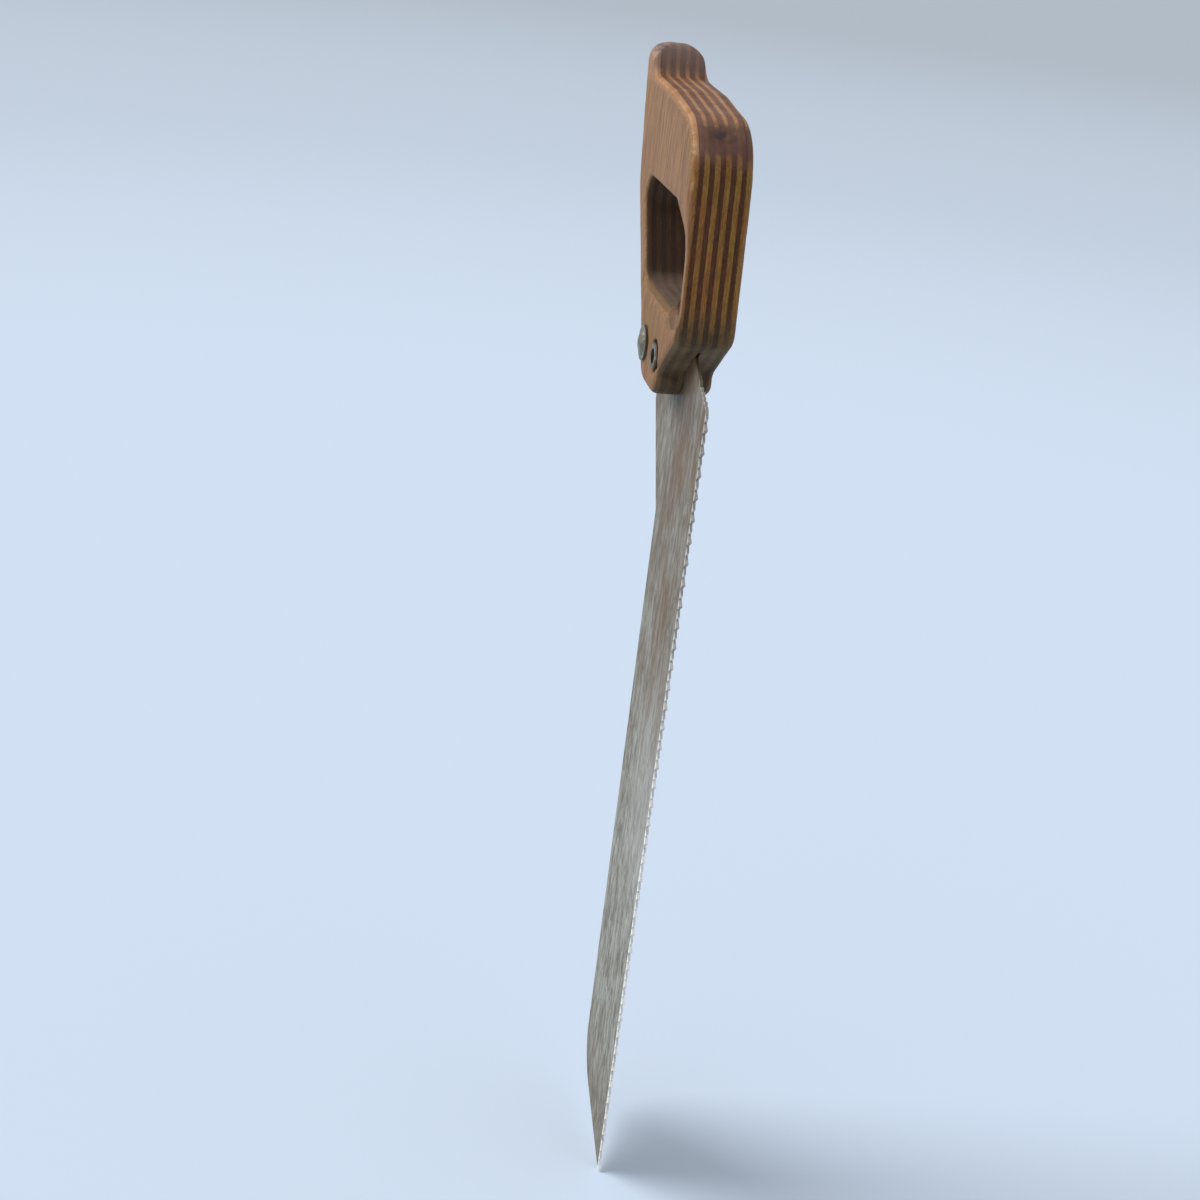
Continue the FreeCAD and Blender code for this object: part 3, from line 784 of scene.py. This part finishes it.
# ---------------------------------------------------------------- handle
@dataclass
class PlywoodHandle:
    """Plywood handle, worn by hand as one block and then divided at its glue lines."""

    voxel: float = 0.7
    smoothing: int = 4
    last_smoothing: int = 2
    sharp_degrees: float = 50
    bar_wear: float = 2.0
    bar_hole_wear: float = 2.4
    bar_span: tuple[float, float] = (-40.0, -10.0)
    bar_width: float = 10.5
    front_slope: float = -0.123
    front_at_zero: float = 44.6
    hole_bottom: float = -38.3
    lower_rim_wear: float = 1.5
    rim_start: tuple[float, float] = (-20, -8)
    rim_end: tuple[float, float] = (38, 27)
    rim_reach: tuple[float, float] = (4.5, 0.8)
    horn_from: float = 31.0
    horn_taper: float = 0.24
    horn_round: float = 6.5
    left_horn_round: float = 8.0
    left_taper: float = 0.12
    heel_from: float = 22.0
    heel_wear: float = 1.3
    dent_depth: float = 0.2
    dent_size: float = 9.0
    nick_depth: float = 0.22
    nick_size: float = 2.6
    rough_depth: float = 0.03
    rough_size: float = 1.3
    chip: Triple = (-56.0, -11.5, 48.0)
    chip_reach: tuple[float, float] = (7.5, 2.0)
    knock: Triple = (34.8, 1.2, 26.0)
    knock_reach: tuple[float, float] = (6.5, 1.5)
    body: str = "saw"

    def __post_init__(self) -> None:
        """List the plies from the left face to the right one and read the block's limits."""
        self.nodes = sorted(name for name in frame["nodes"] if name.startswith("ply_"))
        self.middle = next(name for name in self.nodes if "kerf" in name)
        self.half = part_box(self.nodes[-1])[1][1] / MM
        self.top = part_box(self.middle)[1][2] / MM

    def blank(self) -> bpy.types.Object:
        """Join the plies into one closed block, with the kerf filled in.

        Returns:
            The block, with an even mesh all over.
        """
        whole = bmesh.new()
        for index, node in enumerate(self.nodes):
            source, shift = node, Vector()
            if node == self.middle:
                source = self.nodes[index - 1]
                shift.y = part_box(node)[0][1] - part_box(source)[0][1]
            layer = merged_copy(source, shift)
            mesh = bpy.data.meshes.new("layer")
            layer.to_mesh(mesh)
            layer.free()
            whole.from_mesh(mesh)
            bpy.data.meshes.remove(mesh)
        block = object_from(whole, "handle_block")
        remesh = block.modifiers.new("even", "REMESH")
        remesh.mode = "VOXEL"
        remesh.voxel_size = self.voxel * MM
        settle(block)
        return block

    def rub_bar(self, worn: Vector) -> None:
        """Rub down the left face beside the hand hole, where the front bar is gripped.

        Args:
            worn: The point to move, in millimetres.
        """
        low, high = self.bar_span
        from_front = worn.x - (self.front_at_zero + self.front_slope * worn.z)
        along = ease(low - 8, low + 4, worn.z) * ease(high + 16, high - 10, worn.z)
        dip = self.bar_wear * ease(-self.bar_width - 6, -self.bar_width + 2, from_front)
        dip += self.bar_hole_wear * ease(-3.0, -self.bar_width, from_front) * ease(
            -self.bar_width - 8, -self.bar_width - 1, from_front)
        worn.y = max(worn.y, dip * along - self.half)

    def round_horn(self, worn: Vector) -> None:
        """Taper the horn and round its top, more on the right side than on the left.

        Args:
            worn: The point to move, in millimetres.
        """
        left = worn.y < 0
        slope = self.horn_taper * (self.left_taper if left else 1.0) * ease(-40, -50, worn.x)
        limit = self.half - slope * (worn.z - self.horn_from)
        worn.y = math.copysign(min(abs(worn.y), limit), worn.y)
        bend = self.left_horn_round if left else self.horn_round
        aside = abs(worn.y) - (limit - bend)
        above = worn.z - (self.top - bend)
        reach = math.hypot(max(0.0, aside), above)
        if aside > 0 and above > 0 and reach > bend:
            worn.y = math.copysign(limit - bend + aside * bend / reach, worn.y)
            worn.z = self.top - bend + above * bend / reach

    def depth_at(self, place: Vector) -> float:
        """How deep dents, nicks, chips and rim wear go at a point, in millimetres.

        Args:
            place: The point on the new handle, in millimetres.

        Returns:
            The depth.
        """
        dents = noise.noise(place / self.dent_size) * 0.5 + 0.5
        nicks = max(0.0, noise.noise(place / self.nick_size + Vector((7, 3, 1))) - 0.25)
        rough = noise.noise(place / self.rough_size) * 0.5 + 0.5
        depth = self.dent_depth * dents + self.nick_depth * nicks + self.rough_depth * rough
        rim = math.hypot(place.y + self.half, place.z - self.hole_bottom)
        along = ease(*self.rim_start, place.x) * ease(*self.rim_end, place.x)
        depth += self.lower_rim_wear * ease(*self.rim_reach, rim) * along
        knocked = ease(*self.chip_reach, (place - Vector(self.chip)).length)
        knocked += 0.8 * ease(*self.knock_reach, (place - Vector(self.knock)).length)
        return depth + knocked * (0.7 + 0.8 * noise.noise(place / 2.2))

    def worn_down(self, place: Vector, outward: Vector) -> Vector:
        """Where wear has taken a point of the surface, in millimetres.

        Args:
            place: The point on the new handle, in millimetres.
            outward: The surface's outward direction there.

        Returns:
            The point on the worn handle, in millimetres.
        """
        worn = place.copy()
        self.rub_bar(worn)
        if worn.z > self.horn_from:
            self.round_horn(worn)
        elif worn.x > self.heel_from and worn.y > 0:
            low = ease(-42, -50, worn.z) * ease(self.heel_from, self.heel_from + 5, worn.x)
            worn.y = min(worn.y, self.half - self.heel_wear * low)
        return worn - outward * max(0.0, self.depth_at(place))

    def wear(self, bm: bmesh.types.BMesh) -> None:
        """Wear the whole block down with use.

        Args:
            bm: The block.
        """
        smooth_out(bm, self.smoothing)
        bm.normal_update()
        moved = []
        for vert in bm.verts:
            moved.append(self.worn_down(vert.co / MM, vert.normal) * MM)
        for vert, place in zip(bm.verts, moved):
            vert.co = place
        smooth_out(bm, self.last_smoothing)

    def slice_off(self, block: bpy.types.Mesh, name: str, low: float,
                  high: float) -> bpy.types.Object:
        """Cut one ply out of the worn block and close its two glued faces.

        Args:
            block: The worn block.
            name: Name of the piece.
            low: Glue plane on the left, in metres along Y.
            high: Glue plane on the right.

        Returns:
            The ply.
        """
        bm = bmesh.new()
        bm.from_mesh(block)
        for plane, outward in ((low, -1.0), (high, 1.0)):
            cut = bmesh.ops.bisect_plane(
                bm, geom=bm.verts[:] + bm.edges[:] + bm.faces[:], dist=1e-7,
                plane_co=(0, plane, 0), plane_no=(0, outward, 0), clear_outer=True)
            rim = [part for part in cut["geom_cut"] if isinstance(part, bmesh.types.BMEdge)]
            if rim:
                bmesh.ops.triangle_fill(bm, edges=rim, use_beauty=True, use_dissolve=False)
        bmesh.ops.recalc_face_normals(bm, faces=bm.faces)
        return object_from(bm, name)

    def build(self, groups: Groups) -> list[bpy.types.Object]:
        """Build, divide and dress the handle.

        Args:
            groups: The shared node groups.

        Returns:
            The plies, from left to right.
        """
        block = self.blank()
        bm = bmesh.new()
        bm.from_mesh(block.data)
        self.wear(bm)
        bm.to_mesh(block.data)
        bm.free()
        materials = {kind: WOODS[kind].material(groups) for kind in Veneer}
        subparts = frame["record"]["subparts"]
        slots = {entry["node"]: entry["material_slot"] for entry in subparts}
        plies = []
        for node in self.nodes:
            low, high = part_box(node)
            ply = self.slice_off(block.data, node.replace("ply_", "veneer_"), low[1], high[1])
            if node == self.middle:
                carve(ply, object_from(merged_copy(node), "kerf_former"), "INTERSECT")
            smooth_by_angle(ply, self.sharp_degrees)
            ply.data.materials.clear()
            ply.data.materials.append(materials[Veneer(slots[node])])
            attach(ply, self.body)
            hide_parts(node)
            plies.append(ply)
            log.info("%s: %d faces", ply.name, len(ply.data.polygons))
        bpy.data.objects.remove(block)
        return plies


# ---------------------------------------------------------------- blade
@dataclass
class SawBlade:
    """Toothed blade: a stamped plate with set, filed teeth and nicks round its heel."""

    teeth: int = 80
    tooth_depth: float = 2.7
    bevel_drop: float = 1.0
    set_out: float = 0.1
    heel_nicks: int = 5
    heel_nick_run: float = 15.0
    heel_nick_depth: float = 1.1
    heel_bevel_drop: float = 0.2
    heel_set_out: float = 0.08
    tip_bevel: float = 0.3
    tang_front: float = 24.0
    heel_z: float = -66.0
    tang_back: float = -13.0
    shoulder_drop: float = 4.2
    back_low_z: float = -87.5
    ramp_end: tuple[float, float] = (10.0, -126.5)
    toe_back: tuple[float, float] = (14.5, -395.7)
    toe_cut: float = 15.5
    toe_segments: int = 14
    bolt_hole_radius: float = 3.25
    sharp_degrees: float = 12
    flatness: float = 0.02
    body: str = "saw"

    def __post_init__(self) -> None:
        """Read the blade's limits from the frame, in millimetres."""
        low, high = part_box("blade")
        self.low = Vector(low) / MM
        self.high = Vector(high) / MM
        self.root = self.high.x - self.tooth_depth

    def outline(self) -> list[tuple[float, float]]:
        """Corners of the plate without its teeth, from the heel down the tooth side.

        Returns:
            X and Z of each corner, in millimetres.
        """
        slope = (self.low.z - self.toe_back[1]) / (self.high.x - self.toe_back[0])
        top = self.high.z
        heel = Vector((self.root, self.heel_z))
        front = Vector((self.tang_front, top))
        run = (front - heel).normalized()
        inset = Vector((-0.4, -0.9)) * self.heel_nick_depth
        nick_end = heel + run * self.heel_nick_run
        return [
            tuple(heel + inset * 0.6),
            (self.root, self.low.z - slope * self.tooth_depth),
            self.toe_back, self.ramp_end,
            (self.low.x, self.back_low_z), (self.low.x, top - self.shoulder_drop),
            (self.tang_back, top), tuple(front),
            tuple(nick_end), tuple(nick_end + inset - run * 0.8),
        ]

    def plate(self) -> bmesh.types.BMesh:
        """Cut the plate, round its toe and give it its thickness.

        Returns:
            The plate.
        """
        bm = bmesh.new()
        corners = [bm.verts.new((x * MM, self.low.y * MM, z * MM)) for x, z in self.outline()]
        bm.faces.new(corners)
        bmesh.ops.bevel(bm, geom=[corners[2]], offset=self.toe_cut * MM, affect="VERTICES",
                        segments=self.toe_segments, profile=0.5, material=-1)
        sheet = next(iter(bm.faces))
        thick = (self.high.y - self.low.y) * MM
        lifted = bmesh.ops.extrude_face_region(bm, geom=[sheet])
        top = [part for part in lifted["geom"] if isinstance(part, bmesh.types.BMVert)]
        bmesh.ops.translate(bm, verts=top, vec=(0, thick, 0))
        bmesh.ops.recalc_face_normals(bm, faces=bm.faces)
        return bm

    def side_face(self, bm: bmesh.types.BMesh, first: int, second: int) -> bmesh.types.BMFace:
        """Find the narrow face along one side of the outline.

        Args:
            bm: The plate.
            first: Index of the outline corner where the side starts.
            second: Index of the corner where it ends.

        Returns:
            The face.
        """
        outline = self.outline()
        middle = (Vector(outline[first]) + Vector(outline[second])) / 2 * MM
        narrow = [face for face in bm.faces if abs(face.normal.y) < 0.1]
        return min(narrow, key=lambda face: (
            Vector((face.calc_center_median().x, face.calc_center_median().z)) - middle).length)

    def notch(self, bm: bmesh.types.BMesh, side: bmesh.types.BMFace, count: int, depth: float,
              drop: float, set_out: float, to_toe: bool = False) -> None:
        """Raise a row of teeth on one side of the plate.

        Args:
            bm: The plate.
            side: The narrow face that gets the teeth.
            count: Number of teeth.
            depth: Height of a tooth, in millimetres.
            drop: How much lower a tooth's inner corner is, in millimetres.
            set_out: How far each tooth leans out, left and right in turn, in millimetres.
            to_toe: Whether the last tooth runs out to the blade's tip.
        """
        outward = side.normal.copy()
        anchor = side.calc_center_median()
        long_edges = sorted(side.edges, key=lambda edge: -edge.calc_length())[:2]
        bmesh.ops.subdivide_edges(bm, edges=long_edges, cuts=count - 1, use_grid_fill=True)
        rungs = [face for face in bm.faces
                 if face.normal.dot(outward) > 0.999 and len(face.verts) == 4
                 and abs(face.normal.y) < 0.1
                 and abs((face.calc_center_median() - anchor).dot(outward)) < self.flatness * MM]
        rungs.sort(key=lambda face: -face.calc_center_median().z)
        raised = bmesh.ops.extrude_discrete_faces(bm, faces=rungs)["faces"]
        raised.sort(key=lambda face: -face.calc_center_median().z)
        for index, crest in enumerate(raised):
            lean = 1.0 if index % 2 else -1.0
            middle = crest.calc_center_median()
            for vert in list(crest.verts):
                across = vert.co.y - middle.y
                outer = across * lean > 0
                height = depth if outer else depth - drop
                vert.co = middle + Vector((0, across + lean * set_out * MM, 0))
                vert.co += outward * height * MM
            if to_toe and index == len(raised) - 1:
                for vert in crest.verts:
                    rise = 0.0 if vert.co.y * lean > 0 else self.tip_bevel
                    vert.co.z = (self.low.z + rise) * MM
            for vert in crest.verts:
                for face in vert.link_faces:
                    if abs(face.normal.y) < 0.9:
                        face.material_index = 1
        bmesh.ops.remove_doubles(bm, verts=bm.verts, dist=1e-6)

    def build(self, groups: Groups) -> bpy.types.Object:
        """Build, drill and dress the blade.

        Args:
            groups: The shared node groups.

        Returns:
            The blade.
        """
        bm = self.plate()
        front = self.side_face(bm, 0, 1)
        self.notch(bm, front, self.teeth, self.tooth_depth, self.bevel_drop, self.set_out,
                   to_toe=True)
        heel = self.side_face(bm, len(self.outline()) - 1, 0)
        self.notch(bm, heel, self.heel_nicks, self.heel_nick_depth, self.heel_bevel_drop,
                   self.heel_set_out)
        bm.normal_update()
        bmesh.ops.recalc_face_normals(bm, faces=bm.faces)
        blade = object_from(bm, "saw_blade")
        blade.data.materials.append(BladeFinish().material(groups))
        # The teeth get a near-white finish: filed steel, with painted glints on their facets.
        blade.data.materials.append(BladeFinish(
            name="filed_teeth_glint", clean=tone(252, 252, 250), dull=tone(222, 220, 214),
            dark=tone(150, 142, 128), metallic=0.25, sheen=(0.25, 0.35),
            filed=True).material(groups))
        for bolt in ("rear_bolt", "front_bolt"):
            low, high = (Vector(corner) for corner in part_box(bolt))
            centre = (low + high) / 2
            drill = bmesh.new()
            turn = Matrix.Translation((centre.x, 0, centre.z)) @ Matrix.Rotation(
                math.pi / 2, 4, "X")
            bmesh.ops.create_cone(
                drill, cap_ends=True, segments=48, radius1=self.bolt_hole_radius * MM,
                radius2=self.bolt_hole_radius * MM, depth=6 * MM, matrix=turn)
            carve(blade, object_from(drill, "drill"), "DIFFERENCE")
        smooth_by_angle(blade, self.sharp_degrees)
        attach(blade, self.body)
        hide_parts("blade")
        log.info("%s: %d faces", blade.name, len(blade.data.polygons))
        return blade


# ---------------------------------------------------------------- fasteners
@dataclass
class Fasteners:
    """Bolts, washers and nuts, kept as the frame has them and given their finish."""

    kinds: tuple[str, ...] = ("bolt", "head_washer", "nut_washer", "nut")

    def build(self, groups: Groups) -> None:
        """Dress every fastener node.

        Args:
            groups: The shared node groups.
        """
        steel = FastenerFinish().material(groups)
        for end in ("rear", "front"):
            for kind in self.kinds:
                node = frame["nodes"]["%s_%s" % (end, kind)]
                if not node.material_slots:
                    node.data.materials.append(steel)
                for slot in node.material_slots:
                    slot.material = steel
                log.info("%s dressed", node.name)


# ---------------------------------------------------------------- studio
@dataclass
class Studio:
    """Pale floor, a soft key light, even surroundings and the camera.

    The eye is in millimetres, the floor's radius in metres.
    """

    eye: Triple = (633.3, -145.7, 100.8)
    right: Triple = (0.15111, 0.98202, 0.11312)
    up: Triple = (-0.40237, -0.04342, 0.91445)
    back: Triple = (0.90292, -0.18370, 0.38858)
    lens: float = 50.0
    sensor: float = 36.0
    floor_radius: float = 80.0
    paper_near: Colour = (0.705, 0.82, 0.98, 1.0)
    paper_far: Colour = (0.48, 0.545, 0.62, 1.0)
    key_towards: Triple = (-0.75, -1.6, 1.0)
    key_degrees: float = 38.0
    key_strength: float = 2.6
    key_colour: Triple = (1.0, 0.99, 0.98)
    air_colour: Colour = (0.97, 0.985, 1.0, 1.0)
    air_strength: float = 0.515

    def camera(self) -> None:
        """Place the camera."""
        data = bpy.data.cameras.new("camera")
        data.lens = self.lens
        data.sensor_width = self.sensor
        data.clip_start = 0.01
        data.clip_end = 60.0
        made = bpy.data.objects.new("camera", data)
        bpy.context.scene.collection.objects.link(made)
        turn = Matrix((self.right, self.up, self.back)).transposed().to_4x4()
        made.matrix_world = Matrix.Translation(Vector(self.eye) * MM) @ turn
        bpy.context.scene.camera = made

    def floor(self) -> None:
        """Lay the pale floor at the blade's tip."""
        bm = bmesh.new()
        bmesh.ops.create_circle(bm, cap_ends=True, segments=96, radius=self.floor_radius)
        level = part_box("blade")[0][2]
        bmesh.ops.translate(bm, verts=bm.verts, vec=(0, 0, level))
        made = object_from(bm, "floor")
        paint, graph, shader = make_material("floor_paper")
        place = graph.node("ShaderNodeTexCoord").outputs["Object"]
        away = graph.node("ShaderNodeVectorMath", {0: place}, operation="LENGTH").outputs[1]
        far = graph.math("ADD", graph.both(graph.step(away, 1.1, 3.2), 0.45),
                         graph.both(graph.step(away, 2.0, 9.0), 0.55))
        colour = graph.mix(far, self.paper_near, self.paper_far)
        graph.put(shader.inputs["Base Color"], colour)
        shader.inputs["Roughness"].default_value = 0.9
        shader.inputs["Specular IOR Level"].default_value = 0.1
        made.data.materials.append(paint)

    def key_light(self) -> None:
        """Add the soft distant key light."""
        data = bpy.data.lights.new("key", "SUN")
        data.angle = math.radians(self.key_degrees)
        data.energy = self.key_strength
        data.color = self.key_colour
        made = bpy.data.objects.new("key", data)
        bpy.context.scene.collection.objects.link(made)
        made.rotation_euler = Vector(self.key_towards).to_track_quat("Z", "Y").to_euler()

    def build(self) -> None:
        """Set up the camera, the floor, the light and the surroundings."""
        self.camera()
        self.floor()
        self.key_light()
        world = bpy.data.worlds.new("surroundings")
        world.use_nodes = True
        backdrop = world.node_tree.nodes["Background"]
        backdrop.inputs["Color"].default_value = self.air_colour
        backdrop.inputs["Strength"].default_value = self.air_strength
        bpy.context.scene.world = world
        bpy.context.scene.view_settings.view_transform = "Standard"


def main() -> None:
    """Build every sub-assembly."""
    logging.basicConfig(level=logging.INFO, format="%(name)s: %(message)s")
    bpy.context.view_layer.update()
    groups = Groups()
    PlywoodHandle().build(groups)
    SawBlade().build(groups)
    Fasteners().build(groups)
    Studio().build()


if __name__ == "__main__":
    main()
